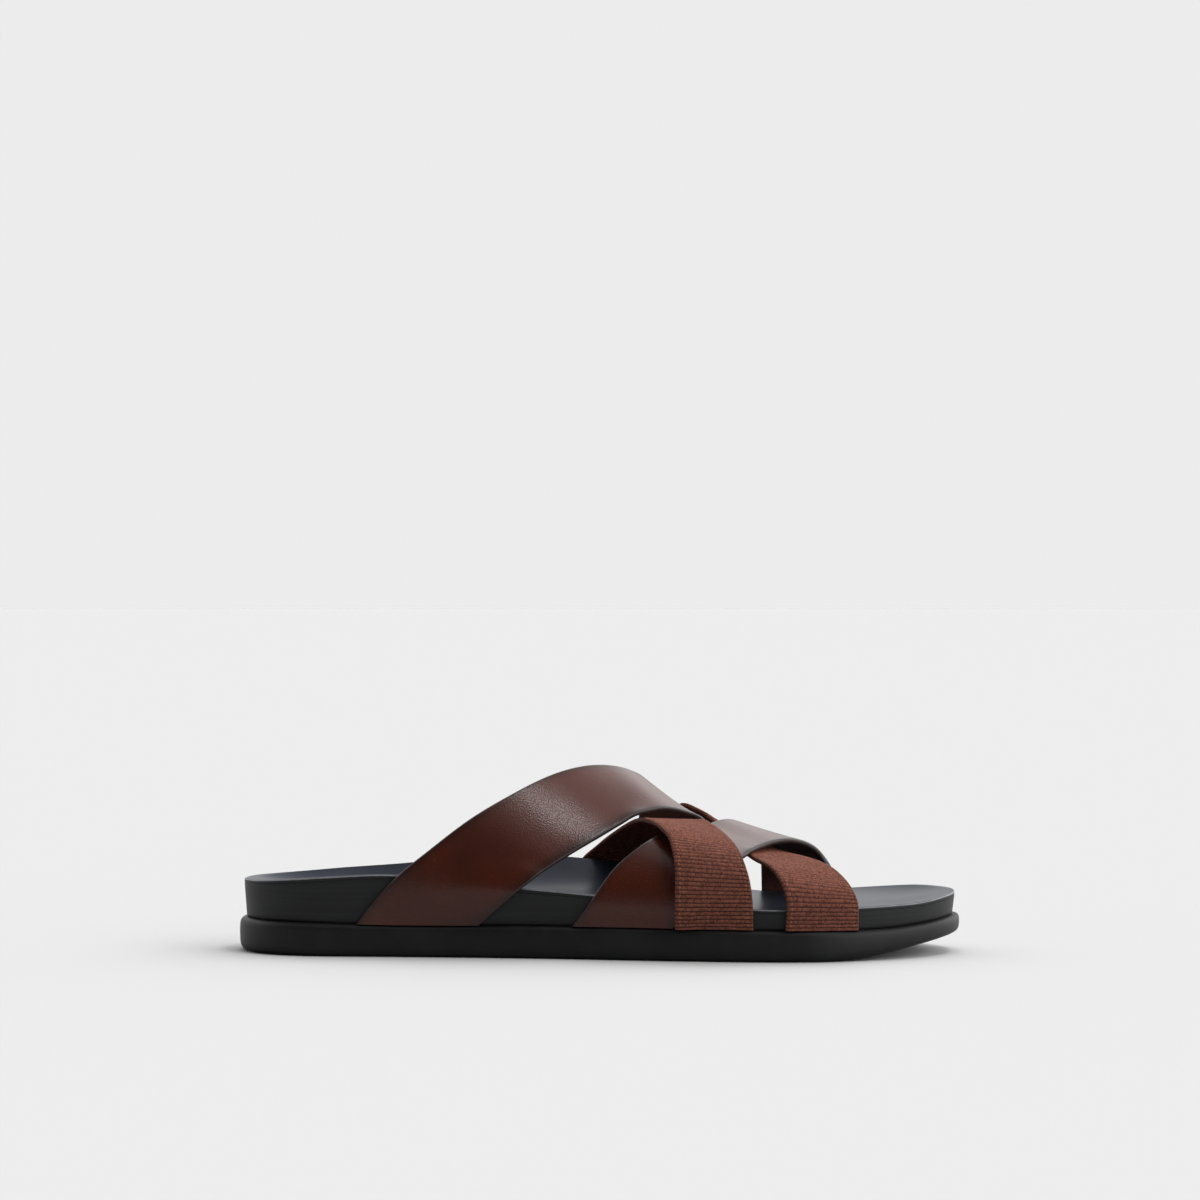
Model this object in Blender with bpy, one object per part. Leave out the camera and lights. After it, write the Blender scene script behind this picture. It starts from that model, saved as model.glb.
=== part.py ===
"""A man's right slide sandal: two leather straps and two elastic straps woven over a footbed on a
rubber sole.

The toe points along +X, the inner (big toe) side is +Y, and the sole stands on z = 0. Every piece is
a closed solid of its own, a small gap apart from its neighbours. Lengths are in metres; the tables
give shares in per cent of the named sizes.
"""
import bpy
import bmesh
import numpy as np

# start from an empty scene
for thing in list(bpy.data.objects):
    bpy.data.objects.remove(thing, do_unlink=True)
PARTS = bpy.data.collections.new("slide_sandal")
bpy.context.scene.collection.children.link(PARTS)

# named sizes, metres
LENGTH = 0.290            # outsole, heel end to toe end
BALL_HALF = 0.0535        # half the outsole's width across the ball, measured on the outer side
GAP = 0.0003              # air between two pieces that touch in the real sandal
SOLE_THICK = 0.0124       # outsole, ground to the ledge round the footbed
EDGE_ROUND = 0.0026       # rounding of the outsole's lower and upper edge
TOE_SPRING = 0.0082       # lift of the outsole's bottom at the toe end
LEDGE_OUTER = 0.0034      # ledge of the outsole beside the footbed, outer side
LEDGE_INNER = 0.0048      # the same on the inner side, where two straps lie over each other
LEDGE_END = 0.0028        # the same at the heel and the toe
WALL_FLARE = 0.0010       # how much further out the footbed's wall stands at its rim
RIM_RISE = 0.0165         # footbed rim above the ledge at the heel, the tables' unit
INSOLE_THICK = 0.0015     # top cover of the footbed
STRAP_RISE = 0.0620       # rear strap's highest edge above the ledge, the tables' unit
LEATHER_THICK = 0.0020    # leather strap, lining included
ELASTIC_THICK = 0.0017    # woven elastic strap
LAY_SPARE = 0.0005        # more than the gap, for the flat facets of two curved straps
LIFT_REACH = 0.0060       # how far beside a crossing the upper strap starts to rise
LIFT_SLOPE = 0.55         # how steeply it rises there

# how finely the surfaces are cut up
STATIONS = 44             # stations along the sole
TOP_CUTS = 10             # strips across the footbed's top
STRAP_CUTS = 44           # strips along a strap
STRAP_LANES = 9           # strips across a strap

# the sole in plan, per cent of LENGTH and of BALL_HALF, a row per section
PLAN_COLUMNS = ("along", "outer", "inner")
PLAN = (
    (0, 63.5, 63.5),
    (15, 68.0, 68.0),
    (30, 72.0, 69.0),
    (45, 80.5, 72.0),
    (55, 89.0, 78.5),
    (65, 97.0, 88.0),
    (72, 100.0, 93.5),
    (80, 98.0, 96.0),
    (90, 86.0, 93.5),
    (100, 75.0, 90.0),
)
HEEL_END_SHARE = 0.13     # length of the rounded heel end, share of LENGTH
TOE_END_SHARE = 0.22      # length of the rounded toe end, share of LENGTH
END_POWER = 2.2           # roundness of both ends

# heights along the sole: per cent of LENGTH; ledge and bottom in per cent of SOLE_THICK
# and TOE_SPRING; rim and middle of the top in per cent of RIM_RISE above the ledge
HEIGHT_COLUMNS = ("along", "ledge", "bottom", "rim_outer", "rim_inner", "middle")
HEIGHTS = (
    (0, 109, 0, 92, 92, 92),
    (1.2, 109, 0, 94, 93, 92),
    (3, 108, 0, 96, 94, 80),
    (7, 107, 0, 102, 97, 62),
    (14, 104, 0, 113, 108, 55),
    (21, 101, 0, 121, 119, 53),
    (31, 101, 0, 109, 136, 53),
    (40, 103, 0, 91, 139, 55),
    (47, 103, 0, 81, 132, 55),
    (55, 103, 0, 69, 112, 49),
    (65, 101, 0, 57, 70, 38),
    (73, 99, 0, 50, 49, 34),
    (81, 97, 0, 53, 54, 34),
    (86, 97, 10, 55, 61, 36),
    (90, 99, 34, 55, 66, 40),
    (95, 109, 68, 52, 66, 45),
    (98, 118, 88, 54, 60, 52),
    (99, 121, 94, 55, 58, 56),
    (100, 124, 100, 57, 57, 57),
)
# the outsole's side: height share, and how far in, share of EDGE_ROUND
SIDE_COLUMNS = ("height", "inset")
SIDE = ((0, 1.0), (0.05, 0.42), (0.16, 0.1), (0.34, 0.0), (0.72, 0.0), (0.87, 0.12), (0.96, 0.45), (1, 1.0))

# the straps, outer face: x in per cent of LENGTH, y in per cent of BALL_HALF (- is the
# outer side), z in per cent of STRAP_RISE above the ledge; a row per place along the strap
STRAP_COLUMNS = ("rear_x", "rear_y", "rear_z", "front_x", "front_y", "front_z")
REAR_LEATHER = (
    (17.4, -66.9, 0, 34.3, -71.6, 0),
    (19.8, -68.8, 14.9, 36.9, -74.4, 10.8),
    (23.3, -69.9, 32.5, 39.2, -75.5, 20.7),
    (27.4, -68, 48.3, 41.3, -74, 28.4),
    (33, -59.8, 68.1, 43.6, -71, 36.3),
    (38.6, -43, 83.2, 45.9, -65.4, 43.3),
    (44, -16.8, 94.9, 49.7, -53.3, 53.9),
    (49.9, 18.7, 99.4, 55, -28, 66.8),
    (53.5, 41.1, 96, 59.2, -5.6, 72.3),
    (56.3, 61.7, 86.2, 63.7, 22.4, 65.1),
    (55.4, 77.4, 66.5, 67.9, 51.4, 47.7),
    (54.8, 82.6, 40.7, 70.5, 77.8, 23.6),
    (55, 81.9, 18.1, 71.4, 86.7, 9.2),
    (55.2, 77.4, 0, 71.4, 87.7, 0),
)
FRONT_LEATHER = (
    (46.9, -80.6, 0, 60.8, -92, 0),
    (49.6, -83, 17.1, 62.9, -95.7, 13.7),
    (50.8, -82.6, 25.5, 63.8, -95.3, 23.1),
    (52.9, -79.4, 38.4, 64.7, -92.5, 31.2),
    (56.3, -69.2, 51.7, 66.3, -86, 38.6),
    (58.6, -50.5, 57.2, 68.2, -76.6, 43.7),
    (61.7, -18.7, 58.5, 70.1, -60.7, 45.1),
    (64.6, 10.3, 60.8, 72.4, -37.4, 50.2),
    (67.6, 27.1, 64, 74.8, -18.7, 52.9),
    (70.2, 44.9, 60.1, 77.4, -1.9, 52.9),
    (71.8, 62.6, 52.7, 80.2, 24.3, 46.9),
    (72.6, 76.6, 40.3, 82.4, 56.1, 33),
    (72.7, 86.9, 23.7, 83.6, 76.6, 19.4),
    (72.7, 89.3, 0, 84.1, 85, 0),
)
REAR_ELASTIC = (
    (61, -92.7, 0, 71.5, -97.6, 0),
    (61, -99.1, 19.9, 71.4, -101.3, 20.4),
    (61, -97.8, 39.9, 70.8, -98.1, 37),
    (60.7, -92.5, 49.3, 70.1, -88.8, 46),
    (60.2, -82.2, 57.3, 69.4, -74.8, 51.5),
    (58.8, -63.6, 63.9, 68.3, -54.2, 56.3),
    (57.8, -46.7, 65.8, 67.4, -33.6, 58.9),
    (56.4, -24.3, 66.4, 66, -9.3, 62.1),
    (55.4, 0, 65.1, 64.7, 14, 63.7),
    (54.1, 20.6, 62, 63.4, 34.6, 59.1),
    (51.4, 46.7, 52.9, 61.2, 55.1, 50.6),
    (49.2, 58.9, 44.2, 59.1, 67.7, 37.6),
    (46.8, 68.8, 33.9, 57.2, 75.1, 23),
    (44.7, 69.7, 19.7, 56.2, 77.6, 11.7),
    (42.4, 65.8, 0, 55.1, 73.5, 0),
)
FRONT_ELASTIC = (
    (75.9, -97.6, 0, 85.7, -84.5, 0),
    (76, -99.1, 20.7, 85.6, -86.5, 18.4),
    (75.4, -95.3, 30.3, 85.1, -83.2, 24.7),
    (74.6, -86.9, 36.1, 84.5, -75.7, 29.4),
    (73.5, -74.8, 40.5, 83.4, -62.6, 34.5),
    (71.7, -56.1, 43.7, 82.1, -44.9, 38.4),
    (69.7, -26.2, 48.4, 79.7, -18.7, 41.4),
    (67.8, 7.5, 54.1, 77.2, 5.6, 42.4),
    (65.8, 33.6, 63.4, 74.7, 31.8, 43.2),
    (63.7, 50.5, 69.4, 72.2, 55.1, 43.1),
    (61.1, 67.3, 72.2, 70.3, 71, 46.2),
    (59, 81.3, 61.8, 68.1, 83.2, 38),
    (57.9, 86.9, 40.8, 67.4, 90.3, 23.5),
    (57.4, 86, 19.8, 67.2, 91.6, 8.9),
    (57.2, 81.9, 0, 67.2, 89.7, 0),
)


def column(table, columns, name):
    """One named column of a table as numbers."""
    return np.array([row[columns.index(name)] for row in table], float)


def smooth(x, knots, values):
    """A smooth curve through a table, by cubic pieces with averaged slopes."""
    x = np.asarray(x, float)
    step = np.diff(knots)
    slope = np.diff(values) / step
    tangent = np.empty(len(knots))
    tangent[0] = slope[0]
    tangent[-1] = slope[-1]
    tangent[1:-1] = (slope[:-1] * step[1:] + slope[1:] * step[:-1]) / (step[:-1] + step[1:])
    i = np.clip(np.searchsorted(knots, x) - 1, 0, len(knots) - 2)
    h = step[i]
    t = (x - knots[i]) / h
    return ((2 * t ** 3 - 3 * t ** 2 + 1) * values[i] + (t ** 3 - 2 * t ** 2 + t) * h * tangent[i]
            + (3 * t ** 2 - 2 * t ** 3) * values[i + 1] + (t ** 3 - t ** 2) * h * tangent[i + 1])


def height(name, x):
    """A column of HEIGHTS at x, in per cent."""
    along = column(HEIGHTS, HEIGHT_COLUMNS, "along")
    return smooth(np.asarray(x) / LENGTH * 100, along, column(HEIGHTS, HEIGHT_COLUMNS, name))


def ledge(x):
    """Height of the outsole's top, on which the footbed and the strap ends stand."""
    return SOLE_THICK * height("ledge", x) / 100


def bottom(x):
    """Height of the outsole's underside: flat, with the toe sprung up."""
    return np.maximum(TOE_SPRING * height("bottom", x) / 100, 0) * (np.asarray(x) > LENGTH * 0.8)


def rim(x, side):
    """Height of the footbed's rim on one side."""
    return ledge(x) + RIM_RISE * height("rim_" + side, x) / 100


def middle(x):
    """Height of the footbed's top along its middle."""
    return ledge(x) + RIM_RISE * height("middle", x) / 100


def outline(x, inset_outer=0.0, inset_inner=0.0, inset=0.0):
    """The sole's edge in plan: y on the outer and the inner side, moved in by insets at sides and ends."""
    x = np.clip(np.asarray(x, float), inset, LENGTH - inset)
    along = column(PLAN, PLAN_COLUMNS, "along") / 100 * LENGTH
    outer = smooth(x, along, column(PLAN, PLAN_COLUMNS, "outer")) / 100 * BALL_HALF - inset_outer
    inner = smooth(x, along, column(PLAN, PLAN_COLUMNS, "inner")) / 100 * BALL_HALF - inset_inner
    heel = np.clip(1 - (x - inset) / (HEEL_END_SHARE * LENGTH), 0, 1)
    toe = np.clip(1 - (LENGTH - inset - x) / (TOE_END_SHARE * LENGTH), 0, 1)
    cap = (1 - heel ** END_POWER) ** (1 / END_POWER) * (1 - toe ** END_POWER) ** (1 / END_POWER)
    centre = (inner - outer) / 2
    half = (inner + outer) / 2
    return centre - half * cap, centre + half * cap


def stations(inset):
    """Places along the sole, closer together at its ends."""
    turn = np.linspace(0, np.pi, STATIONS + 1)
    return inset + (LENGTH - 2 * inset) * (1 - np.cos(turn)) / 2


def ring(insets, z_outer, z_inner):
    """A closed loop round the sole: heel end, outer side, toe end, inner side."""
    x = stations(insets[2])
    y_outer, y_inner = outline(x, *insets)
    first = np.stack([x, y_outer, z_outer(x)], 1)
    second = np.stack([x, y_inner, z_inner(x)], 1)
    return np.concatenate([first, second[-2:0:-1]])


def cap_rows(loop, z_of, upward):
    """Inner points and faces that close a ring with a surface, cut across at every station."""
    count = len(loop)
    points = []
    index = np.zeros((STATIONS + 1, TOP_CUTS + 1), int)
    for i in range(STATIONS + 1):
        a = i
        b = (count - i) % count
        index[i, 0] = a
        index[i, TOP_CUTS] = b
        if a == b or i == STATIONS:
            index[i, :] = a
            continue
        for j in range(1, TOP_CUTS):
            share = j / TOP_CUTS
            share = share + 0.09 * np.sin(2 * np.pi * share) * -0.5
            p = loop[a] * (1 - share) + loop[b] * share
            p[2] = z_of(p[0], 2 * share - 1, loop[a][2], loop[b][2])
            index[i, j] = count + len(points)
            points.append(p)
    faces = []
    for i in range(STATIONS):
        for j in range(TOP_CUTS):
            face = [index[i, j], index[i + 1, j], index[i + 1, j + 1], index[i, j + 1]]
            face = [v for k, v in enumerate(face) if v != face[k - 1]]
            faces.append(face if upward else face[:1] + face[:0:-1])
    return np.array(points), faces


def sole_solid(name, loops, z_bottom, z_top, material):
    """A solid skinned over rings from the lowest to the highest, closed below and above."""
    count = len(loops[0])
    points = np.concatenate(loops)
    faces = []
    for k in range(len(loops) - 1):
        for i in range(count):
            j = (i + 1) % count
            faces.append([k * count + i, k * count + j, (k + 1) * count + j, (k + 1) * count + i])
    for loop, offset, z_of, upward in ((loops[0], 0, z_bottom, False),
                                       (loops[-1], (len(loops) - 1) * count, z_top, True)):
        extra, more = cap_rows(loop, z_of, upward)
        base = len(points)
        points = np.concatenate([points, extra])
        for face in more:
            faces.append([offset + v if v < count else base + v - count for v in face])
    return solid(name, points, faces, material)


def solid(name, points, faces, material):
    """A named object from points and faces, its faces turned outward."""
    mesh = bpy.data.meshes.new(name)
    triangles = []
    for face in faces:
        for k in range(1, len(face) - 1):
            triangles.append((int(face[0]), int(face[k]), int(face[k + 1])))
    mesh.from_pydata([tuple(p) for p in points], [], triangles)
    work = bmesh.new()
    work.from_mesh(mesh)
    bmesh.ops.remove_doubles(work, verts=work.verts, dist=0.00002)
    bmesh.ops.recalc_face_normals(work, faces=work.faces)
    if work.calc_volume(signed=True) < 0:
        bmesh.ops.reverse_faces(work, faces=work.faces)
    for face in work.faces:
        face.smooth = True
    for edge in work.edges:
        if len(edge.link_faces) == 2 and edge.calc_face_angle(0) > 0.9:
            edge.smooth = False
    work.to_mesh(mesh)
    work.free()
    mesh.materials.append(material)
    thing = bpy.data.objects.new(name, mesh)
    PARTS.objects.link(thing)
    return thing


def paint(name, colour, roughness, metallic=0.0):
    """A material of its own for a piece."""
    material = bpy.data.materials.new(name)
    material.use_nodes = True
    shader = material.node_tree.nodes["Principled BSDF"]
    shader.inputs["Base Color"].default_value = (*colour, 1)
    shader.inputs["Roughness"].default_value = roughness
    shader.inputs["Metallic"].default_value = metallic
    return material


def wall_limit(x, z, outer_side):
    """How far out a strap's inner face must stay to clear the footbed's wall at a height."""
    side = "outer" if outer_side else "inner"
    foot = LEDGE_OUTER if outer_side else LEDGE_INNER
    low = np.abs(outline(x, foot, foot, LEDGE_END)[0 if outer_side else 1])
    flared = foot - WALL_FLARE
    high = np.abs(outline(x, flared, flared, LEDGE_END - WALL_FLARE)[0 if outer_side else 1])
    base = ledge(x)
    top = rim(x, side)
    share = np.clip((z - base) / (top - base), 0, 1)
    above = np.clip((z - top - 0.0005) / 0.001, 0, 30)
    return low + (high - low) * share + GAP - 0.00020 * above ** 2


def hug(face, extra):
    """Push a face's points out to the footbed's wall, on whichever side they are."""
    result = face.copy()
    for outer_side, sign in ((True, -1), (False, 1)):
        limit = wall_limit(face[..., 0], face[..., 2], outer_side) + extra
        out = face[..., 1] * sign
        soft = 0.0006
        lift = soft * np.log1p(np.exp(np.clip((limit - out) / soft, -30, 30)))
        lift = np.where(out > BALL_HALF * 0.4, lift, 0)
        for turn in range(4):
            pad = np.pad(lift, ((1, 1), (0, 0)), mode="edge")
            lift = np.maximum(lift, (pad[2:] + pad[:-2]) / 2)
        result[..., 1] = result[..., 1] + sign * lift
    return result


def normals(face):
    """Unit vectors that stand off the outside of a strap's face."""
    along = np.gradient(face, axis=0)
    across = np.gradient(face, axis=1)
    n = np.cross(along, across)
    n /= np.linalg.norm(n, axis=-1, keepdims=True)
    centre = face.copy()
    centre[..., 1] = BALL_HALF * 0.06
    centre[..., 2] = SOLE_THICK
    return n * np.sign(np.sum(n * (face - centre)))


def strap_face(table, thick):
    """Inner face of a strap: both edges smoothed through the table, straight across between them."""
    unit = np.array([LENGTH, BALL_HALF, STRAP_RISE]) / 100
    rear = np.stack([column(table, STRAP_COLUMNS, "rear_" + c) for c in "xyz"], 1) * unit
    front = np.stack([column(table, STRAP_COLUMNS, "front_" + c) for c in "xyz"], 1) * unit
    rear[:, 2] += ledge(rear[:, 0])
    front[:, 2] += ledge(front[:, 0])
    centre = (rear + front) / 2
    knots = np.concatenate([[0], np.cumsum(np.linalg.norm(np.diff(centre, axis=0), axis=1))])
    t = np.linspace(0, knots[-1], STRAP_CUTS + 1)
    edge_a = np.stack([smooth(t, knots, rear[:, k]) for k in range(3)], -1)
    edge_b = np.stack([smooth(t, knots, front[:, k]) for k in range(3)], -1)
    share = np.linspace(0, 1, STRAP_LANES + 1)[None, :, None]
    outer = edge_a[:, None] * (1 - share) + edge_b[:, None] * share
    return outer - normals(outer) * thick


def finer(face, times=4):
    """A face's points with more of them between, along and across."""
    rows, lanes = face.shape[:2]
    a = np.linspace(0, rows - 1, (rows - 1) * times + 1)
    b = np.linspace(0, lanes - 1, (lanes - 1) * times + 1)
    i = np.clip(a.astype(int), 0, rows - 2)
    j = np.clip(b.astype(int), 0, lanes - 2)
    s = (a - i)[:, None, None]
    t = (b - j)[None, :, None]
    return ((face[i][:, j] * (1 - s) + face[i + 1][:, j] * s) * (1 - t)
            + (face[i][:, j + 1] * (1 - s) + face[i + 1][:, j + 1] * s) * t)


def lay_over(upper, lower, lower_thick):
    """Raise a strap's inner face clear of the strap that it crosses, with a soft slope beside it."""
    top = finer(lower + normals(lower) * lower_thick).reshape(-1, 3)
    n = normals(upper).reshape(-1, 3)
    flat = upper.reshape(-1, 3)
    delta = top[None] - flat[:, None]
    along = np.einsum("ijk,ik->ij", delta, n)
    beside = np.sqrt(np.maximum(np.sum(delta * delta, axis=-1) - along ** 2, 0))
    slope = LIFT_SLOPE * np.clip(beside - 0.0010, 0, None)
    close = (np.abs(along) < 0.006) & (beside < LIFT_REACH)
    need = np.max(np.where(close, along + GAP + LAY_SPARE - slope, 0), axis=1)
    need = np.maximum(need, 0).reshape(upper.shape[:2])
    for turn in range(3):
        pad = np.pad(need, 1, mode="edge")
        blur = (pad[2:, 1:-1] + pad[:-2, 1:-1] + pad[1:-1, 2:] + pad[1:-1, :-2]) / 4
        need = np.maximum(need, blur)
    return upper + need[..., None] * n.reshape(upper.shape)


def strap_solid(name, inner, thick, material):
    """Close a strap between its inner face and its outer face."""
    outer = inner + normals(inner) * thick
    for face in (inner, outer):
        for row in (0, -1):
            face[row, :, 2] = ledge(face[row, :, 0]) + GAP
    rows, lanes = inner.shape[:2]
    count = rows * lanes
    index = np.arange(count).reshape(rows, lanes)
    points = np.concatenate([outer.reshape(-1, 3), inner.reshape(-1, 3)])
    faces = []
    for i in range(rows - 1):
        for j in range(lanes - 1):
            quad = [index[i, j], index[i, j + 1], index[i + 1, j + 1], index[i + 1, j]]
            faces.append(quad)
            faces.append([count + v for v in quad[::-1]])
    loop = list(index[0, :]) + list(index[1:, -1]) + list(index[-1, -2::-1]) + list(index[-2:0:-1, 0])
    for k, a in enumerate(loop):
        b = loop[(k + 1) % len(loop)]
        faces.append([b, a, count + a, count + b])
    return solid(name, points, faces, material)


# outsole: a black rubber slab with rounded edges and a sprung toe
loops = []
for share, inset in SIDE:
    def level(x, share=share):
        return bottom(x) + (ledge(x) - bottom(x)) * share
    loops.append(ring((EDGE_ROUND * inset,) * 3, level, level))
sole_solid("outsole", loops, lambda x, v, a, b: float(bottom(x)), lambda x, v, a, b: float(ledge(x)),
           paint("black_rubber", (0.016, 0.016, 0.017), 0.62))


# footbed: the shaped foam bed on the outsole, with a raised rim round its dished top
def dish(x, v, z_outer, z_inner, drop, power=2.8):
    """Height of the top at a place across: low in the middle, up to the rim at both sides."""
    base = float(middle(x)) - drop
    edge = z_outer if v < 0 else z_inner
    return base + (edge - base) * abs(v) ** power


COVER = INSOLE_THICK + GAP
loops = []
for share in (0, 0.35, 0.7, 1):
    loops.append(ring([step - WALL_FLARE * share for step in (LEDGE_OUTER, LEDGE_INNER, LEDGE_END)],
                      lambda x, s=share: ledge(x) + GAP + (rim(x, "outer") - COVER - ledge(x) - GAP) * s,
                      lambda x, s=share: ledge(x) + GAP + (rim(x, "inner") - COVER - ledge(x) - GAP) * s))
sole_solid("footbed", loops, lambda x, v, a, b: float(ledge(x)) + GAP,
           lambda x, v, a, b: dish(x, v, a, b, COVER, 3.1),
           paint("dark_grey_foam", (0.030, 0.031, 0.033), 0.55))

# insole: the thin cover over the footbed's top, out to its rim
loops = []
for lift in (INSOLE_THICK, 0):
    loops.append(ring([step - WALL_FLARE for step in (LEDGE_OUTER, LEDGE_INNER, LEDGE_END)],
                      lambda x, d=lift: rim(x, "outer") - d, lambda x, d=lift: rim(x, "inner") - d))
sole_solid("insole", loops, lambda x, v, a, b: dish(x, v, a, b, INSOLE_THICK),
           lambda x, v, a, b: dish(x, v, a, b, 0), paint("slate_cover", (0.055, 0.058, 0.066), 0.5))

# the four straps, each laid over the one that it crosses on top of
faces = {"rear_leather": strap_face(REAR_LEATHER, LEATHER_THICK),
         "front_leather": strap_face(FRONT_LEATHER, LEATHER_THICK),
         "rear_elastic": strap_face(REAR_ELASTIC, ELASTIC_THICK),
         "front_elastic": strap_face(FRONT_ELASTIC, ELASTIC_THICK)}
thicks = {"rear_leather": LEATHER_THICK, "front_leather": LEATHER_THICK,
          "rear_elastic": ELASTIC_THICK, "front_elastic": ELASTIC_THICK}
WEAVE = (("rear_elastic", "front_leather"), ("rear_leather", "rear_elastic"),
         ("front_leather", "front_elastic"), ("front_elastic", "rear_leather"))
for key in faces:
    faces[key] = hug(faces[key], 0)
for turn in range(4):
    for upper, lower in WEAVE:
        faces[upper] = lay_over(faces[upper], faces[lower], thicks[lower])
        faces[upper] = hug(faces[upper], 0)
strap_solid("strap_rear_leather", faces["rear_leather"], LEATHER_THICK,
            paint("dark_brown_leather", (0.045, 0.018, 0.014), 0.4))
strap_solid("strap_front_leather", faces["front_leather"], LEATHER_THICK,
            paint("dark_brown_leather_front", (0.045, 0.018, 0.014), 0.4))
strap_solid("strap_rear_elastic", faces["rear_elastic"], ELASTIC_THICK,
            paint("brown_elastic", (0.16, 0.075, 0.058), 0.9))
strap_solid("strap_front_elastic", faces["front_elastic"], ELASTIC_THICK,
            paint("brown_elastic_front", (0.16, 0.075, 0.058), 0.9))

# move the whole sandal so that its origin lies under the middle of its box
corners = np.array([tuple(v.co) for piece in PARTS.objects for v in piece.data.vertices])
middle_x, middle_y = (corners.min(axis=0)[:2] + corners.max(axis=0)[:2]) / 2
for piece in PARTS.objects:
    for vertex in piece.data.vertices:
        vertex.co.x -= middle_x
        vertex.co.y -= middle_y
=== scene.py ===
"""A man's right slide sandal, photographed from its outer side.

Two brown leather straps and two brown elastic straps are woven over a dished black footbed that
stands on a black rubber outsole. All lengths are in metres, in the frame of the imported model: the
toe points along +X and the inner, big toe side is +Y.
"""
import math

import bmesh
import bpy
import numpy as np
from mathutils import Matrix


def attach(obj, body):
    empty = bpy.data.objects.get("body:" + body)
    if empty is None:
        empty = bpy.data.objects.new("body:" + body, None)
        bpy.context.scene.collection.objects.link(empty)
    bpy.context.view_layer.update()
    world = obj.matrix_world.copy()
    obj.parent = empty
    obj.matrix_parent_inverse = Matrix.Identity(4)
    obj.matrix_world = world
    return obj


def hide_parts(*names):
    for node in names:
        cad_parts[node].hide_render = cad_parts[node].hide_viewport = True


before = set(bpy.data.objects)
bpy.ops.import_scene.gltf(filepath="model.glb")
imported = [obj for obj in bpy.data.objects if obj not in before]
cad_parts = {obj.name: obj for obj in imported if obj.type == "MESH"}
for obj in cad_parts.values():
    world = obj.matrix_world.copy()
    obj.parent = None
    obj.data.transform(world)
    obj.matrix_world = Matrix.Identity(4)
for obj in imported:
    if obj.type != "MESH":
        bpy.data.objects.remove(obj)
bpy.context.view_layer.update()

# The camera stands level, a metre and a half from the sandal's outer side and two and a half
# degrees round towards its toe, with a long lens, as the photograph was taken.
CAMERA_AWAY = 1.5
CAMERA_HEIGHT = 0.141
CAMERA_LENS = 111.5
CAMERA_TURN = math.radians(2.5)
AIM_X = 0.0005            # the place in plan that the camera looks at
AIM_Y = 0.0016
camera_data = bpy.data.cameras.new("camera")
camera_data.lens = CAMERA_LENS
camera_data.sensor_width = 36
camera = bpy.data.objects.new("camera", camera_data)
camera.location = (AIM_X + CAMERA_AWAY * math.sin(CAMERA_TURN),
                   AIM_Y - CAMERA_AWAY * math.cos(CAMERA_TURN), CAMERA_HEIGHT)
camera.rotation_euler = (math.pi / 2, 0, CAMERA_TURN)
bpy.context.scene.collection.objects.link(camera)
bpy.context.scene.camera = camera
bpy.context.scene.view_settings.view_transform = "Standard"


# A studio's wide pale floor, under soft daylight that is brighter behind and above the sandal than
# in front of it. All materials of the file are made through the two classes that it opens with.
class Reading:
    """What one socket of a finish gives out; sums and products with it become Math nodes."""

    def __init__(self, finish, socket):
        self.finish = finish
        self.socket = socket

    def reckon(self, operation, *values):
        return self.finish.node("Math", {"operation": operation}, dict(enumerate(values)))

    def __add__(self, other):
        return self.reckon("ADD", self, other)

    def __sub__(self, other):
        return self.reckon("SUBTRACT", self, other)

    def __rsub__(self, other):
        return self.reckon("SUBTRACT", other, self)

    def __mul__(self, other):
        return self.reckon("MULTIPLY", self, other)

    def __abs__(self):
        return self.reckon("ABSOLUTE", self)

    __radd__ = __add__
    __rmul__ = __mul__


class Finish:
    """A material or a world while its nodes are put together."""

    def __init__(self, owner, shader):
        owner.use_nodes = True
        self.owner = owner
        self.tree = owner.node_tree
        self.shader = self.tree.nodes[shader]

    def node(self, kind, settings, inputs, output=0):
        """Adds a node, sets it up, fills its sockets and gives one of its outputs."""
        made = self.tree.nodes.new("ShaderNode" + kind)
        for name, value in settings.items():
            setattr(made, name, value)
        for name, value in inputs.items():
            self.fill(made.inputs[name], value)
        return Reading(self, made.outputs[output])

    def fill(self, socket, value):
        """Puts a number, a colour or another node's reading into a socket."""
        if isinstance(value, Reading):
            self.tree.links.new(value.socket, socket)
        elif socket.type == "RGBA" and not isinstance(value, (int, float)):
            socket.default_value = (*value, 1)
        else:
            socket.default_value = value

    def feed(self, **inputs):
        """Sets the shader's own sockets, named with _ for a space."""
        for name, value in inputs.items():
            self.fill(self.shader.inputs[name.replace("_", " ")], value)

    def object_place(self):
        return self.node("TexCoord", {}, {}, "Object")

    def cloth_place(self):
        return self.node("UVMap", {"uv_map": "cloth"}, {})

    def stretched(self, place, scale):
        """A place with each of its axes scaled."""
        return self.node("VectorMath", {"operation": "MULTIPLY"}, {0: place, 1: scale})

    def parts(self, place):
        """The X, Y and Z of a place."""
        first = self.node("SeparateXYZ", {}, {0: place})
        outputs = first.socket.node.outputs
        return [Reading(self, outputs[k]) for k in range(3)]

    def cloudy(self, place, scale, detail=2.0, roughness=0.5):
        """Soft noise from 0 to 1."""
        return self.node("TexNoise", {}, {"Vector": place, "Scale": scale, "Detail": detail,
                                          "Roughness": roughness})

    def ease(self, value, start, end, low=0.0, high=1.0):
        """A value's run from start to end, eased into low to high."""
        return self.node("MapRange", {"interpolation_type": "SMOOTHSTEP"},
                         {0: value, 1: start, 2: end, 3: low, 4: high})

    def blend(self, share, first, second):
        """Two colours mixed."""
        return self.node("Mix", {"data_type": "RGBA"}, {0: share, 6: first, 7: second}, 2)

    def relief(self, height, depth, strength):
        """A normal that shows a relief of that many metres."""
        return self.node("Bump", {}, {"Height": height, "Distance": depth, "Strength": strength})


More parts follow.
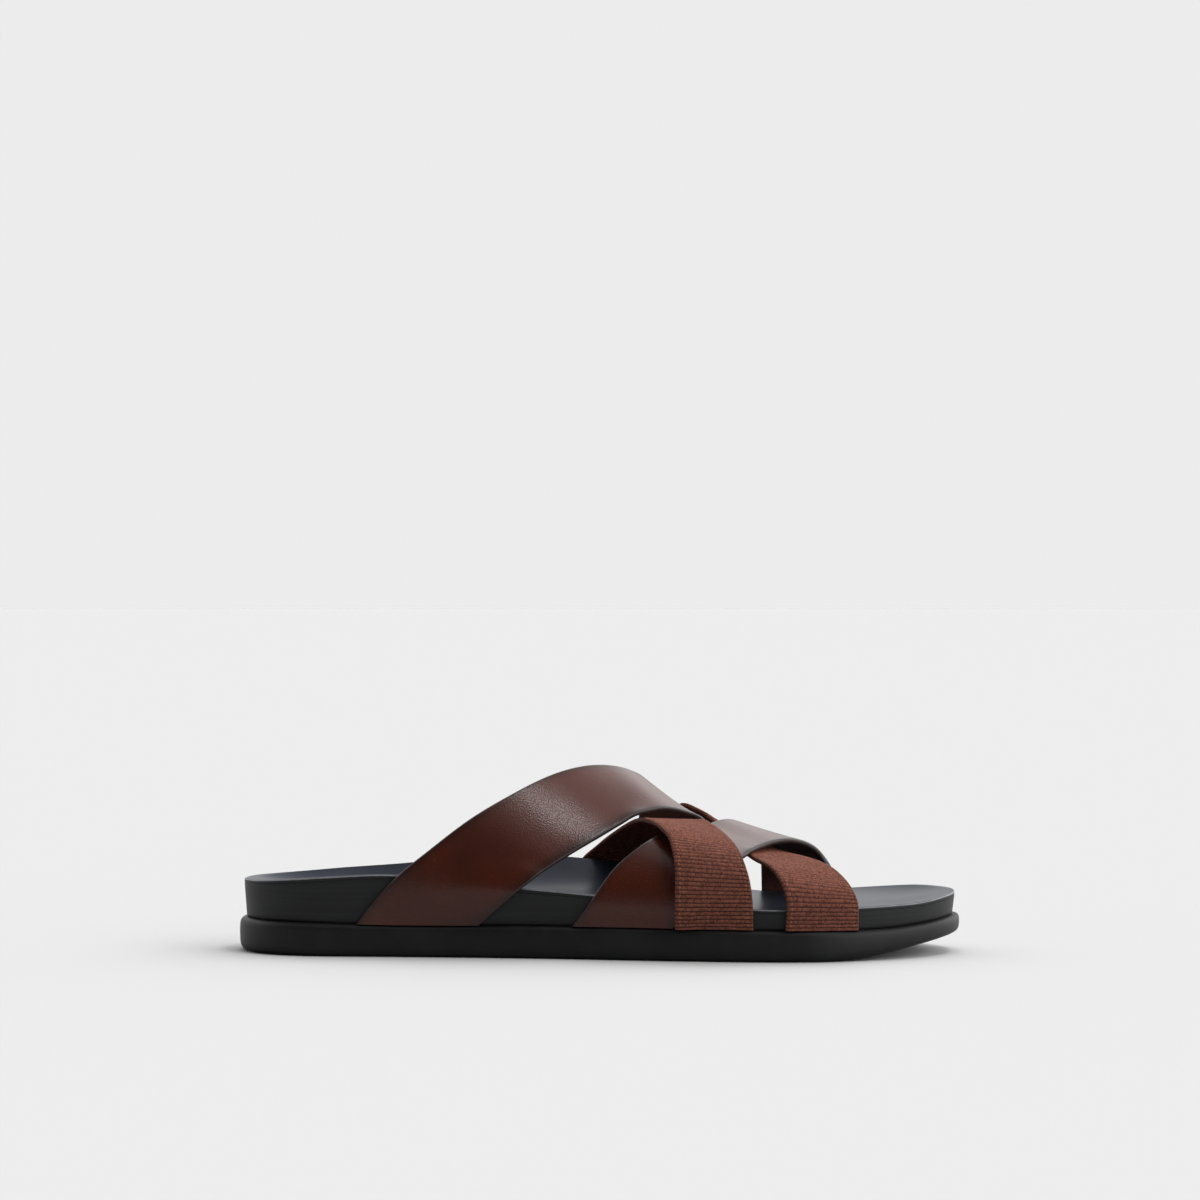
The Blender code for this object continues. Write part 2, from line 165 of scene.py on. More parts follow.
def new_finish(name):
    """A fresh material with a Principled shader."""
    return Finish(bpy.data.materials.new(name), "Principled BSDF")


FLOOR_HALF = 60.0
FLOOR_SHADE = 0.491
BACK_LIGHT = 0.84         # radiance of the far wall behind the sandal
FRONT_LIGHT = 0.04        # radiance of the room behind the camera
TOP_LIGHT = 0.85          # radiance of the ceiling
HIGH_LIGHT = 1.00         # what a softbox high up behind the sandal adds
TOE_LIGHT = 2.20          # what the softbox beyond the toe adds
HEEL_LIGHT = 0.60         # what the window beyond the heel adds
world = bpy.data.worlds.new("studio")
bpy.context.scene.world = world
room = Finish(world, "Background")
room_x, room_y, room_z = room.parts(room.node("TexCoord", {}, {}, "Generated"))
toe_light = room.ease(room_x, 0.15, 0.80) * TOE_LIGHT
heel_light = room.ease(room_x, -0.5, -0.9) * HEEL_LIGHT
wall_light = room.ease(room_y + room_x * 0.15, -0.35, 0.75, FRONT_LIGHT, BACK_LIGHT)
wall_light = wall_light + toe_light + heel_light
overhead = room.ease(room_z + room_y * 0.35, 0.62, 0.92)
high = room.ease(room_z, 0.20, 0.40) * room.ease(room_z, 0.85, 0.60) * room.ease(room_y, 0.1, 0.5)
room.feed(Color=(1.0, 1.0, 1.0),
          Strength=wall_light + overhead * (TOP_LIGHT - wall_light) + high * HIGH_LIGHT)

floor_form = bmesh.new()
bmesh.ops.create_grid(floor_form, x_segments=1, y_segments=1, size=FLOOR_HALF)
floor_mesh = bpy.data.meshes.new("studio_floor")
floor_form.to_mesh(floor_mesh)
floor_form.free()
floor = bpy.data.objects.new("studio_floor", floor_mesh)
bpy.context.scene.collection.objects.link(floor)
floor_finish = new_finish("floor_paper")
floor_finish.feed(Base_Color=(FLOOR_SHADE,) * 3, Roughness=0.9, Specular_IOR_Level=0.0)
floor_mesh.materials.append(floor_finish.owner)

# each lamp's strength, its spread and its tilt about X and Y in degrees, and whether glossy things
# mirror it
for name, energy, spread_angle, tilt, mirrored in (
        ("overhead_softbox", 1.4, 50, (-24, 8), False),
        ("front_softbox", 0.60, 7, (8, 19), True),
        ("toe_softbox", 0.5, 30, (24, 64), True)):
    lamp_data = bpy.data.lights.new(name, "SUN")
    lamp_data.energy = energy
    lamp_data.angle = math.radians(spread_angle)
    lamp = bpy.data.objects.new(name, lamp_data)
    lamp.visible_glossy = mirrored
    lamp.rotation_euler = (math.radians(tilt[0]), math.radians(tilt[1]), 0)
    bpy.context.scene.collection.objects.link(lamp)


# The outsole is a slab of black moulded rubber. Its edges are rounded, its toe is sprung up off the
# ground, and its underside has shallow wavy grooves for grip.
LENGTH = 0.290
BALL_HALF = 0.0535
SOLE_THICK = 0.0124
EDGE_ROUND = 0.0026
SAME_PLACE = 0.000005     # points that are nearer to each other than this become one
CREASE = 0.7              # edges that are bent by more radians than this look sharp
TOE_SPRING = 0.0082
MIDDLE_X = 0.145          # the tables start at the heel; the frame's origin is under the middle
MIDDLE_Y = 0.00162
SPRING_SHARE = 0.8        # the share of the length that lies flat on the ground
GROOVE_DEPTH = 0.0008
GROOVE_PITCH = 0.0072
GROOVE_SWING = 0.0022     # how far a groove swings to and fro, and how often
GROOVE_WAVE = 0.021
GROOVE_STEEP = 2.4        # how steep a groove's sides are, and how narrow it is
GROOVE_NARROW = 1.1
GROOVE_MARGIN = 0.0075    # the plain border round the grooves, and what they fade out in
GROOVE_FADE = 0.0015
END_COUNT = 1.2           # how many times a distance to the heel's or the toe's end counts
WAIST_SHARE = 0.42        # the middle of the plain waist, half its length, and what it fades in
WAIST_HALF = 0.018
WAIST_FADE = 0.002
OUTSOLE_CUTS = (330, 96)
# per cent of LENGTH from the heel, and of BALL_HALF to either side
PLAN_COLUMNS = ("along", "outer", "inner")
PLAN = (
    (0, 63.5, 63.5), (15, 68.0, 68.0), (30, 72.0, 69.0), (45, 80.5, 72.0), (55, 89.0, 78.5),
    (65, 97.0, 88.0), (72, 100.0, 93.5), (80, 98.0, 96.0), (90, 86.0, 93.5), (100, 75.0, 90.0),
)
HEEL_END_SHARE = 0.13
TOE_END_SHARE = 0.22
END_POWER = 2.2
# per cent of LENGTH, SOLE_THICK and TOE_SPRING, and of RIM_RISE above the ledge for the last three
HEIGHT_COLUMNS = ("along", "ledge", "bottom", "rim_outer", "rim_inner", "middle")
HEIGHTS = (
    (0, 109, 0, 92, 92, 92),
    (1.2, 109, 0, 94, 93, 92),
    (3, 108, 0, 96, 94, 80),
    (7, 107, 0, 102, 97, 62),
    (14, 104, 0, 113, 108, 55),
    (21, 101, 0, 121, 119, 53),
    (31, 101, 0, 109, 136, 53),
    (40, 103, 0, 91, 139, 55),
    (47, 103, 0, 81, 132, 55),
    (55, 103, 0, 69, 112, 49),
    (65, 101, 0, 57, 70, 38),
    (73, 99, 0, 50, 49, 34),
    (81, 97, 0, 53, 54, 34),
    (86, 97, 10, 55, 61, 36),
    (90, 99, 34, 55, 66, 40),
    (95, 109, 68, 52, 66, 45),
    (98, 118, 88, 54, 60, 52),
    (99, 121, 94, 55, 58, 56),
    (100, 124, 100, 57, 57, 57),
)
# the side from the ledge down to the ground: height share, and inset as a share of EDGE_ROUND
SIDE = ((0.985, 0.62), (0.955, 0.38), (0.915, 0.20), (0.86, 0.07), (0.78, 0.0), (0.55, -0.04),
        (0.34, 0.0), (0.22, 0.06), (0.13, 0.20), (0.07, 0.40), (0.025, 0.68), (0, 1.0))


def column(table, columns, name):
    """One named column of a table as numbers."""
    return np.array([row[columns.index(name)] for row in table], float)


def smooth(x, knots, values):
    """A smooth curve through a table, by cubic pieces with averaged slopes."""
    x = np.asarray(x, float)
    step = np.diff(knots)
    slope = np.diff(values) / step
    tangent = np.empty(len(knots))
    tangent[0] = slope[0]
    tangent[-1] = slope[-1]
    tangent[1:-1] = (slope[:-1] * step[1:] + slope[1:] * step[:-1]) / (step[:-1] + step[1:])
    i = np.clip(np.searchsorted(knots, x) - 1, 0, len(knots) - 2)
    h = step[i]
    t = (x - knots[i]) / h
    return ((2 * t ** 3 - 3 * t ** 2 + 1) * values[i] + (t ** 3 - 2 * t ** 2 + t) * h * tangent[i]
            + (3 * t ** 2 - 2 * t ** 3) * values[i + 1] + (t ** 3 - t ** 2) * h * tangent[i + 1])


def height(name, x):
    """A column of HEIGHTS at x, in per cent."""
    along = column(HEIGHTS, HEIGHT_COLUMNS, "along")
    return smooth(np.asarray(x) / LENGTH * 100, along, column(HEIGHTS, HEIGHT_COLUMNS, name))


def ledge(x):
    """Height of the outsole's top."""
    return SOLE_THICK * height("ledge", x) / 100


def bottom(x):
    """Height of the outsole's underside."""
    spring = np.maximum(TOE_SPRING * height("bottom", x) / 100, 0)
    return spring * (np.asarray(x) > LENGTH * SPRING_SHARE)


def outline(x, inset_outer=0.0, inset_inner=0.0, inset=0.0):
    """The sole's edge in plan, as y on its outer and its inner side.

    The insets move it in at either side and at both ends.
    """
    x = np.clip(np.asarray(x, float), inset, LENGTH - inset)
    along = column(PLAN, PLAN_COLUMNS, "along") / 100 * LENGTH
    outer = smooth(x, along, column(PLAN, PLAN_COLUMNS, "outer")) / 100 * BALL_HALF - inset_outer
    inner = smooth(x, along, column(PLAN, PLAN_COLUMNS, "inner")) / 100 * BALL_HALF - inset_inner
    heel = np.clip(1 - (x - inset) / (HEEL_END_SHARE * LENGTH), 0, 1)
    toe = np.clip(1 - (LENGTH - inset - x) / (TOE_END_SHARE * LENGTH), 0, 1)
    cap = (1 - heel ** END_POWER) ** (1 / END_POWER) * (1 - toe ** END_POWER) ** (1 / END_POWER)
    centre = (inner - outer) / 2
    half = (inner + outer) / 2
    return centre - half * cap, centre + half * cap


def set_places(verts, places):
    """Moves the vertices to their places, given from the heel, in the model's frame."""
    for vert, place in zip(verts, places):
        vert.co = (place[0] - MIDDLE_X, place[1] + MIDDLE_Y, place[2])


def shares_of(form, verts):
    """What each vertex remembers: how far it is along the sole (-1 to 1) and across it."""
    keep_a = form.verts.layers.float["along"]
    keep_c = form.verts.layers.float["across"]
    return np.array([v[keep_a] for v in verts]), np.array([v[keep_c] for v in verts])


def spread(along, across, insets):
    """x and y for shares along and across a sole that is moved in by its insets."""
    x = insets[2] + (LENGTH - 2 * insets[2]) * (1 + along) / 2
    low, high = outline(x, *insets)
    return x, (low + high) / 2 + (high - low) / 2 * across


def sole_sheet(long_cuts, wide_cuts):
    """A square grid whose vertices remember their shares of a sole's rounded outline."""
    form = bmesh.new()
    keep_a = form.verts.layers.float.new("along")
    keep_c = form.verts.layers.float.new("across")
    bmesh.ops.create_grid(form, x_segments=long_cuts, y_segments=wide_cuts, size=1)
    for vert in form.verts:
        u, v = vert.co.x, vert.co.y
        along = u * math.sqrt(max(0.0, 1 - v * v / 2))
        across = v * math.sqrt(max(0.0, 1 - u * u / 2))
        reach = math.sqrt(max(0.0, 1 - along * along))
        vert[keep_a] = along
        vert[keep_c] = across / reach if reach > 1e-3 else 1.0
    return form


def sole_piece(name, cuts, top_insets, top_z, rings, under_insets, under_z, ring_finishes=None):
    """A closed piece in the shape of the sole: a top sheet, rings down its side, an underside.

    Insets come as outer, inner and end; each ring may have a finish of its own.
    """
    form = sole_sheet(*cuts)
    verts = list(form.verts)
    along, across = shares_of(form, verts)
    x, y = spread(along, across, top_insets)
    set_places(verts, np.stack([x, y, top_z(x, along, across)], 1))
    edges = [e for e in form.edges if e.is_boundary]
    for ring, (insets, z_of) in enumerate(rings):
        made = bmesh.ops.extrude_edge_only(form, edges=edges)["geom"]
        for face in made:
            if ring_finishes and isinstance(face, bmesh.types.BMFace):
                face.material_index = ring_finishes[ring]
        verts = [v for v in made if isinstance(v, bmesh.types.BMVert)]
        new = set(verts)
        edges = [e for e in made if isinstance(e, bmesh.types.BMEdge) and new.issuperset(e.verts)]
        along, across = shares_of(form, verts)
        x, y = spread(along, across, insets)
        set_places(verts, np.stack([x, y, z_of(x, across)], 1))
    under = sole_sheet(*cuts)
    verts = list(under.verts)
    along, across = shares_of(under, verts)
    x, y = spread(along, across, under_insets)
    set_places(verts, np.stack([x, y, under_z(x, along, across)], 1))
    spare = bpy.data.meshes.new("spare")
    under.to_mesh(spare)
    under.free()
    form.from_mesh(spare)
    bpy.data.meshes.remove(spare)
    bmesh.ops.remove_doubles(form, verts=form.verts, dist=SAME_PLACE)
    bmesh.ops.recalc_face_normals(form, faces=form.faces)
    return shown(name, form)


def shown(name, form, crease=CREASE):
    """A finished form as an object that rides on the sandal's one body."""
    if form.calc_volume(signed=True) < 0:
        bmesh.ops.reverse_faces(form, faces=form.faces)
    for face in form.faces:
        face.smooth = True
    for edge in form.edges:
        if len(edge.link_faces) == 2 and edge.calc_face_angle(0) > crease:
            edge.smooth = False
    mesh = bpy.data.meshes.new(name)
    form.to_mesh(mesh)
    form.free()
    piece = bpy.data.objects.new(name, mesh)
    bpy.context.scene.collection.objects.link(piece)
    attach(piece, "root")
    return piece


def grooved(x, along, across):
    """The underside: flat, with wavy grooves that fade out towards the edge and in the waist."""
    low, high = outline(x)
    y = (low + high) / 2 + (high - low) / 2 * across
    wave = (x + GROOVE_SWING * np.cos(2 * np.pi * y / GROOVE_WAVE)) / GROOVE_PITCH
    groove = np.clip(np.cos(2 * np.pi * wave) * GROOVE_STEEP - GROOVE_NARROW, 0, 1)
    edge = np.minimum(np.minimum(y - low, high - y), np.minimum(x, LENGTH - x) * END_COUNT)
    field = np.clip((edge - GROOVE_MARGIN) / GROOVE_FADE, 0, 1)
    waist = np.clip((np.abs(x - LENGTH * WAIST_SHARE) - WAIST_HALF) / WAIST_FADE, 0, 1)
    return bottom(x) + GROOVE_DEPTH * groove * field * waist


outsole = sole_piece(
    "outsole_rubber", OUTSOLE_CUTS, (EDGE_ROUND,) * 3, lambda x, a, c: ledge(x),
    [((EDGE_ROUND * inset,) * 3, lambda x, c, s=share: bottom(x) + (ledge(x) - bottom(x)) * s)
     for share, inset in SIDE],
    (EDGE_ROUND,) * 3, grooved)
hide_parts("outsole")

rubber = new_finish("outsole_rubber")
place = rubber.object_place()
scuff = rubber.cloudy(place, 60, 5, 0.6)
speck = rubber.cloudy(place, 900, 2)
rubber.feed(
    Base_Color=rubber.blend(rubber.ease(scuff, 0.35, 0.75),
                            (0.0030, 0.0031, 0.0033), (0.0065, 0.0067, 0.0070)),
    Roughness=0.44 + scuff * 0.16, Specular_IOR_Level=0.235,
    Normal=rubber.relief(speck * 0.5 + scuff * 0.5, 0.00012, 0.5))
outsole.data.materials.append(rubber.owner)


# The footbed is one block of dark foam, glued onto the outsole, its wall skived smooth all round.
# It stands in a little from the outsole's rim, which leaves a narrow ledge.
LEDGE_OUTER = 0.0034
LEDGE_INNER = 0.0048
LEDGE_END = 0.0028
WALL_FLARE = 0.0010
RIM_RISE = 0.0165
INSOLE_THICK = 0.0015
FOOT_EASE = 0.0005        # the small turned-in edge at the foot of its wall
TOP_EASE = 0.0003         # and at its top, under the cover
DISH_POWER = 2.8
FOOTBED_CUTS = (150, 40)
WALL_SHARES = (0.97, 0.9, 0.7, 0.45, 0.2, 0.06)


def rim(x, across):
    """Height of the footbed's rim on the side that across says."""
    side = np.where(across < 0, height("rim_outer", x), height("rim_inner", x))
    return ledge(x) + RIM_RISE * side / 100


def dish(x, across, drop, power=DISH_POWER):
    """Height of the dished top: low in the middle, up to the rim at both sides."""
    low = ledge(x) + RIM_RISE * height("middle", x) / 100 - drop
    return low + (rim(x, across) - drop - low) * np.abs(across) ** power


def wall_insets(more):
    """How far the wall's foot stands in at outer side, inner side and ends, and more."""
    return LEDGE_OUTER + more, LEDGE_INNER + more, LEDGE_END + more


def wall_ring(share, more=0.0):
    """One ring of the footbed's wall, at a share of its height from the ledge to the cover."""
    return (wall_insets(more - WALL_FLARE * share),
            lambda x, c: ledge(x) + (rim(x, c) - INSOLE_THICK - ledge(x)) * share)


footbed = sole_piece(
    "footbed_foam", FOOTBED_CUTS, wall_insets(TOP_EASE - WALL_FLARE),
    lambda x, a, c: dish(x, c, INSOLE_THICK),
    [wall_ring(share) for share in WALL_SHARES]
    + [wall_ring(0.02, FOOT_EASE * 0.4), wall_ring(0.0, FOOT_EASE)],
    wall_insets(FOOT_EASE), lambda x, a, c: ledge(x) + 0 * a)
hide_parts("footbed")

foam = new_finish("footbed_foam")
place = foam.object_place()
skive = foam.cloudy(foam.stretched(place, (20.0, 20.0, 900.0)), 1.0, 3, 0.6)
pore = foam.cloudy(place, 1400, 2)
foam.feed(
    Base_Color=foam.blend(foam.ease(skive, 0.3, 0.75),
                          (0.0036, 0.0039, 0.0042), (0.0080, 0.0086, 0.0091)),
    Roughness=0.50 + skive * 0.12, Specular_IOR_Level=0.28,
    Normal=foam.relief(skive * 0.6 + pore * 0.4, 0.00010, 0.55))
footbed.data.materials.append(foam.owner)


# The insole is the thin slate-coloured cover that is moulded onto the footbed's dish. It runs out
# to the rim and turns over it with a soft edge, on which a thin lighter band is painted highlight.
# Its cut side is skived with the wall.
RIM_ROUND = 0.0009
RIM_ANGLES = (18, 36, 54, 72, 90)
COVER_EASE = 0.0001       # how far the cover's cut side stands in from the wall
UNDER_POWER = 3.0         # its underside dips just into the foam, so that no gap shows between them
COVER_CUTS = (220, 64)


def rim_ring(angle):
    """One ring round the insole's turned edge, from its top (0) to upright (90 degrees)."""
    back = RIM_ROUND * (1 - math.sin(math.radians(angle)))
    down = RIM_ROUND * (1 - math.cos(math.radians(angle)))
    return wall_insets(back - WALL_FLARE), lambda x, c: rim(x, c) - down


insole = sole_piece(
    "insole_cover", COVER_CUTS, wall_insets(RIM_ROUND - WALL_FLARE), lambda x, a, c: dish(x, c, 0),
    [rim_ring(angle) for angle in RIM_ANGLES]
    + [(wall_insets(COVER_EASE - WALL_FLARE), lambda x, c: rim(x, c) - INSOLE_THICK)],
    wall_insets(COVER_EASE - WALL_FLARE), lambda x, a, c: dish(x, c, INSOLE_THICK, UNDER_POWER),
    (0, 0, 1, 1, 2, 2))
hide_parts("insole")

cover = new_finish("insole_cover")
place = cover.object_place()
mottle = cover.cloudy(place, 45, 4, 0.55)
grain = cover.cloudy(place, 1100, 3)
cover.feed(
    Base_Color=cover.blend(cover.ease(mottle, 0.3, 0.75),
                           (0.0160, 0.0195, 0.0310), (0.0230, 0.0270, 0.0405)),
    Roughness=0.28 + mottle * 0.10, Specular_IOR_Level=0.14,
    Normal=cover.relief(grain, 0.00008, 0.4))

# painted highlight: a lighter grey band on the rounded rim edge stands in for the rim catching the
# light
rim_highlight = new_finish("insole_painted_rim_highlight")
highlight_mottle = rim_highlight.cloudy(rim_highlight.object_place(), 220, 4, 0.6)
rim_highlight.feed(
    Base_Color=rim_highlight.blend(rim_highlight.ease(highlight_mottle, 0.3, 0.7),
                            (0.095, 0.098, 0.108), (0.150, 0.154, 0.168)),
    Roughness=0.38 + highlight_mottle * 0.1, Specular_IOR_Level=0.40)
for finish in (cover, rim_highlight, foam):
    insole.data.materials.append(finish.owner)


# The upper is four straps, fixed between footbed and outsole at both sides and woven over and under
# each other. Their edges lie in these tables, and where two cross, the upper one is eased over.
GAP = 0.0003
STRAP_RISE = 0.0620
LEATHER_THICK = 0.0020
ELASTIC_THICK = 0.0017
LAY_GAP = 0.00012         # between the faces of two straps where they cross
LIFT_FLAT = 0.0006        # where one strap lies over another it is lifted flat to here beside it,
LIFT_REACH = 0.0060       # and falls away at LIFT_SLOPE to here
LIFT_SLOPE = 0.60
LIFT_ROUNDS = 10          # how often the lift is smoothed
NEAR = 0.006              # straps that are further apart than this don't meet
SIDE_SHARE = 0.4          # beyond this share of BALL_HALF a strap is at a side of the footbed
HEART_SHARE = 0.06        # the middle of the upper, this share of it to the inner side
LEAN_START = 0.0005       # from here above the rim a strap may lean in over the foot, by LEAN_IN
LEAN_IN = 0.00020         # a millimetre up and by the square of it further on, to LEAN_MOST
LEAN_MOST = 30            # millimetres
STRAP_SAME_PLACE = 0.000002
STRAP_CUTS = 84
STRAP_LANES = 16
EDGE_STEPS = 4
# Each row has both edges at one step of the way from the outer side to the inner, in per cent of
# LENGTH, of BALL_HALF and, above the ledge, of STRAP_RISE.
STRAP_COLUMNS = ("rear_x", "rear_y", "rear_z", "front_x", "front_y", "front_z")
REAR_LEATHER = (
    (17.4, -66.9, 0, 34.3, -71.6, 0),
    (19.8, -68.8, 14.9, 36.9, -74.4, 10.8),
    (23.3, -69.9, 32.5, 39.2, -75.5, 20.7),
    (27.4, -68, 48.3, 41.3, -74, 28.4),
    (33, -59.8, 68.1, 43.6, -71, 36.3),
    (38.6, -43, 83.2, 45.9, -65.4, 43.3),
    (44, -16.8, 94.9, 49.7, -53.3, 53.9),
    (49.9, 18.7, 99.4, 55, -28, 66.8),
    (53.5, 41.1, 96, 59.2, -5.6, 72.3),
    (56.3, 61.7, 86.2, 63.7, 22.4, 65.1),
    (55.4, 77.4, 66.5, 67.9, 51.4, 47.7),
    (54.8, 82.6, 40.7, 70.5, 77.8, 23.6),
    (55, 81.9, 18.1, 71.4, 86.7, 9.2),
    (55.2, 77.4, 0, 71.4, 87.7, 0),
)
FRONT_LEATHER = (
    (46.9, -80.6, 0, 60.8, -92, 0),
    (49.6, -83, 17.1, 62.9, -95.7, 13.7),
    (50.8, -82.6, 25.5, 63.8, -95.3, 23.1),
    (52.9, -79.4, 38.4, 64.7, -92.5, 31.2),
    (56.3, -69.2, 51.7, 66.3, -86, 38.6),
    (58.6, -50.5, 57.2, 68.2, -76.6, 43.7),
    (61.7, -18.7, 58.5, 70.1, -60.7, 45.1),
    (64.6, 10.3, 60.8, 72.4, -37.4, 50.2),
    (67.6, 27.1, 64, 74.8, -18.7, 52.9),
    (70.2, 44.9, 60.1, 77.4, -1.9, 52.9),
    (71.8, 62.6, 52.7, 80.2, 24.3, 46.9),
    (72.6, 76.6, 40.3, 82.4, 56.1, 33),
    (72.7, 86.9, 23.7, 83.6, 76.6, 19.4),
    (72.7, 89.3, 0, 84.1, 85, 0),
)
REAR_ELASTIC = (
    (61, -92.7, 0, 71.5, -97.6, 0),
    (61, -99.1, 19.9, 71.4, -101.3, 20.4),
    (61, -97.8, 39.9, 70.8, -98.1, 37),
    (60.7, -92.5, 49.3, 70.1, -88.8, 46),
    (60.2, -82.2, 57.3, 69.4, -74.8, 51.5),
    (58.8, -63.6, 63.9, 68.3, -54.2, 56.3),
    (57.8, -46.7, 65.8, 67.4, -33.6, 58.9),
    (56.4, -24.3, 66.4, 66, -9.3, 62.1),
    (55.4, 0, 65.1, 64.7, 14, 63.7),
    (54.1, 20.6, 62, 63.4, 34.6, 59.1),
    (51.4, 46.7, 52.9, 61.2, 55.1, 50.6),
    (49.2, 58.9, 44.2, 59.1, 67.7, 37.6),
    (46.8, 68.8, 33.9, 57.2, 75.1, 23),
    (44.7, 69.7, 19.7, 56.2, 77.6, 11.7),
    (42.4, 65.8, 0, 55.1, 73.5, 0),
)
FRONT_ELASTIC = (
    (75.9, -97.6, 0, 85.7, -84.5, 0),
    (76, -99.1, 20.7, 85.6, -86.5, 18.4),
    (75.4, -95.3, 30.3, 85.1, -83.2, 24.7),
    (74.6, -86.9, 36.1, 84.5, -75.7, 29.4),
    (73.5, -74.8, 40.5, 83.4, -62.6, 34.5),
    (71.7, -56.1, 43.7, 82.1, -44.9, 38.4),
    (69.7, -26.2, 48.4, 79.7, -18.7, 41.4),
    (67.8, 7.5, 54.1, 77.2, 5.6, 42.4),
    (65.8, 33.6, 63.4, 74.7, 31.8, 43.2),
    (63.7, 50.5, 69.4, 72.2, 55.1, 43.1),
    (61.1, 67.3, 72.2, 70.3, 71, 46.2),
    (59, 81.3, 61.8, 68.1, 83.2, 38),
    (57.9, 86.9, 40.8, 67.4, 90.3, 23.5),
    (57.4, 86, 19.8, 67.2, 91.6, 8.9),
    (57.2, 81.9, 0, 67.2, 89.7, 0),
)


def wall_limit(x, z, outer_side):
    """How far out a strap's inner face must stay to clear the footbed's wall at a height."""
    foot = LEDGE_OUTER if outer_side else LEDGE_INNER
    low = np.abs(outline(x, foot, foot, LEDGE_END)[0 if outer_side else 1])
    flared = foot - WALL_FLARE
    high = np.abs(outline(x, flared, flared, LEDGE_END - WALL_FLARE)[0 if outer_side else 1])
    base = ledge(x)
    top = rim(x, -1 if outer_side else 1)
    share = np.clip((z - base) / (top - base), 0, 1)
    above = np.clip((z - top - LEAN_START) / 0.001, 0, LEAN_MOST)
    return low + (high - low) * share + GAP - LEAN_IN * above ** 2


def eased(lift, steps):
    """A lift that is spread some steps to every side and then smoothed, so it is nowhere lower."""
    for pick in [np.max] * steps + [np.mean] * steps:
        for axis in (0, 1):
            lift = np.moveaxis(lift, axis, 0)
            pad = np.pad(lift, ((1, 1), (0, 0)), mode="edge")
            lift = np.moveaxis(pick([pad[2:], pad[1:-1], pad[:-2]], axis=0), 0, axis)
    return lift


def hug(face, steps):
    """Push a face's points out to the footbed's wall, on whichever side they are."""
    result = face.copy()
    for outer_side, sign in ((True, -1), (False, 1)):
        limit = wall_limit(face[..., 0], face[..., 2], outer_side)
        out = face[..., 1] * sign
        lift = np.where(out > BALL_HALF * SIDE_SHARE, np.maximum(limit - out, 0), 0)
        result[..., 1] += sign * eased(lift, steps)
    return result


def standing_off(face):
    """Unit vectors that stand off the outside of a strap's face."""
    along = np.gradient(face, axis=0)
    across = np.gradient(face, axis=1)
    n = np.cross(along, across)
    n /= np.linalg.norm(n, axis=-1, keepdims=True)
    centre = face.copy()
    centre[..., 1] = BALL_HALF * HEART_SHARE
    centre[..., 2] = SOLE_THICK
    return n * np.sign(np.sum(n * (face - centre)))


def strap_face(table, thick):
    """Inner face of a strap: both edges smoothed through the table, and straight between them."""
    unit = np.array([LENGTH, BALL_HALF, STRAP_RISE]) / 100
    rear = np.stack([column(table, STRAP_COLUMNS, "rear_" + c) for c in "xyz"], 1) * unit
    front = np.stack([column(table, STRAP_COLUMNS, "front_" + c) for c in "xyz"], 1) * unit
    rear[:, 2] += ledge(rear[:, 0])
    front[:, 2] += ledge(front[:, 0])
    centre = (rear + front) / 2
    knots = np.concatenate([[0], np.cumsum(np.linalg.norm(np.diff(centre, axis=0), axis=1))])
    t = np.linspace(0, knots[-1], STRAP_CUTS + 1)
    edge_a = np.stack([smooth(t, knots, rear[:, k]) for k in range(3)], -1)
    edge_b = np.stack([smooth(t, knots, front[:, k]) for k in range(3)], -1)
    share = np.linspace(0, 1, STRAP_LANES + 1)[None, :, None]
    outer = edge_a[:, None] * (1 - share) + edge_b[:, None] * share
    return outer - standing_off(outer) * thick


def finer(face, times=2):
    """A face's points with more of them between, along and across."""
    rows, lanes = face.shape[:2]
    a = np.linspace(0, rows - 1, (rows - 1) * times + 1)
    b = np.linspace(0, lanes - 1, (lanes - 1) * times + 1)
    i = np.clip(a.astype(int), 0, rows - 2)
    j = np.clip(b.astype(int), 0, lanes - 2)
    s = (a - i)[:, None, None]
    t = (b - j)[None, :, None]
    return ((face[i][:, j] * (1 - s) + face[i + 1][:, j] * s) * (1 - t)
            + (face[i][:, j + 1] * (1 - s) + face[i + 1][:, j + 1] * s) * t)


def lay_over(upper, lower, lower_thick):
    """Raise a strap's inner face clear of the strap it crosses, with a soft slope beside it."""
    top = finer(lower + standing_off(lower) * lower_thick).reshape(-1, 3)
    n = standing_off(upper)
    need = np.zeros(upper.shape[:2])
    for row in range(len(upper)):
        delta = top[None] - upper[row][:, None]
        height_over = np.einsum("ijk,ik->ij", delta, n[row])
        beside = np.sqrt(np.maximum(np.sum(delta * delta, axis=-1) - height_over ** 2, 0))
        slope = LIFT_SLOPE * np.clip(beside - LIFT_FLAT, 0, None)
        close = (np.abs(height_over) < NEAR) & (beside < LIFT_REACH)
        need[row] = np.max(np.where(close, height_over + LAY_GAP - slope, 0), axis=1)
    need = eased(np.maximum(need, 0), 1)
    for again in range(LIFT_ROUNDS):
        pad = np.pad(need, 1, mode="edge")
        around = pad[2:, 1:-1] + pad[:-2, 1:-1] + pad[1:-1, 2:] + pad[1:-1, :-2]
        need = np.maximum(need, around / 4)
    return upper + need[..., None] * n


STRAPS = {"rear_leather": (REAR_LEATHER, LEATHER_THICK),
          "front_leather": (FRONT_LEATHER, LEATHER_THICK),
          "rear_elastic": (REAR_ELASTIC, ELASTIC_THICK),
          "front_elastic": (FRONT_ELASTIC, ELASTIC_THICK)}
# at each crossing, the strap that lies over and the one that lies under
WEAVE = (("rear_elastic", "front_leather"), ("rear_leather", "rear_elastic"),
         ("front_leather", "front_elastic"), ("front_elastic", "rear_leather"))
strap_faces = {name: hug(strap_face(table, thick), 3) for name, (table, thick) in STRAPS.items()}
for again in range(3):
    for over, under in WEAVE:
        raised = lay_over(strap_faces[over], strap_faces[under], STRAPS[under][1])
        strap_faces[over] = hug(raised, 1)


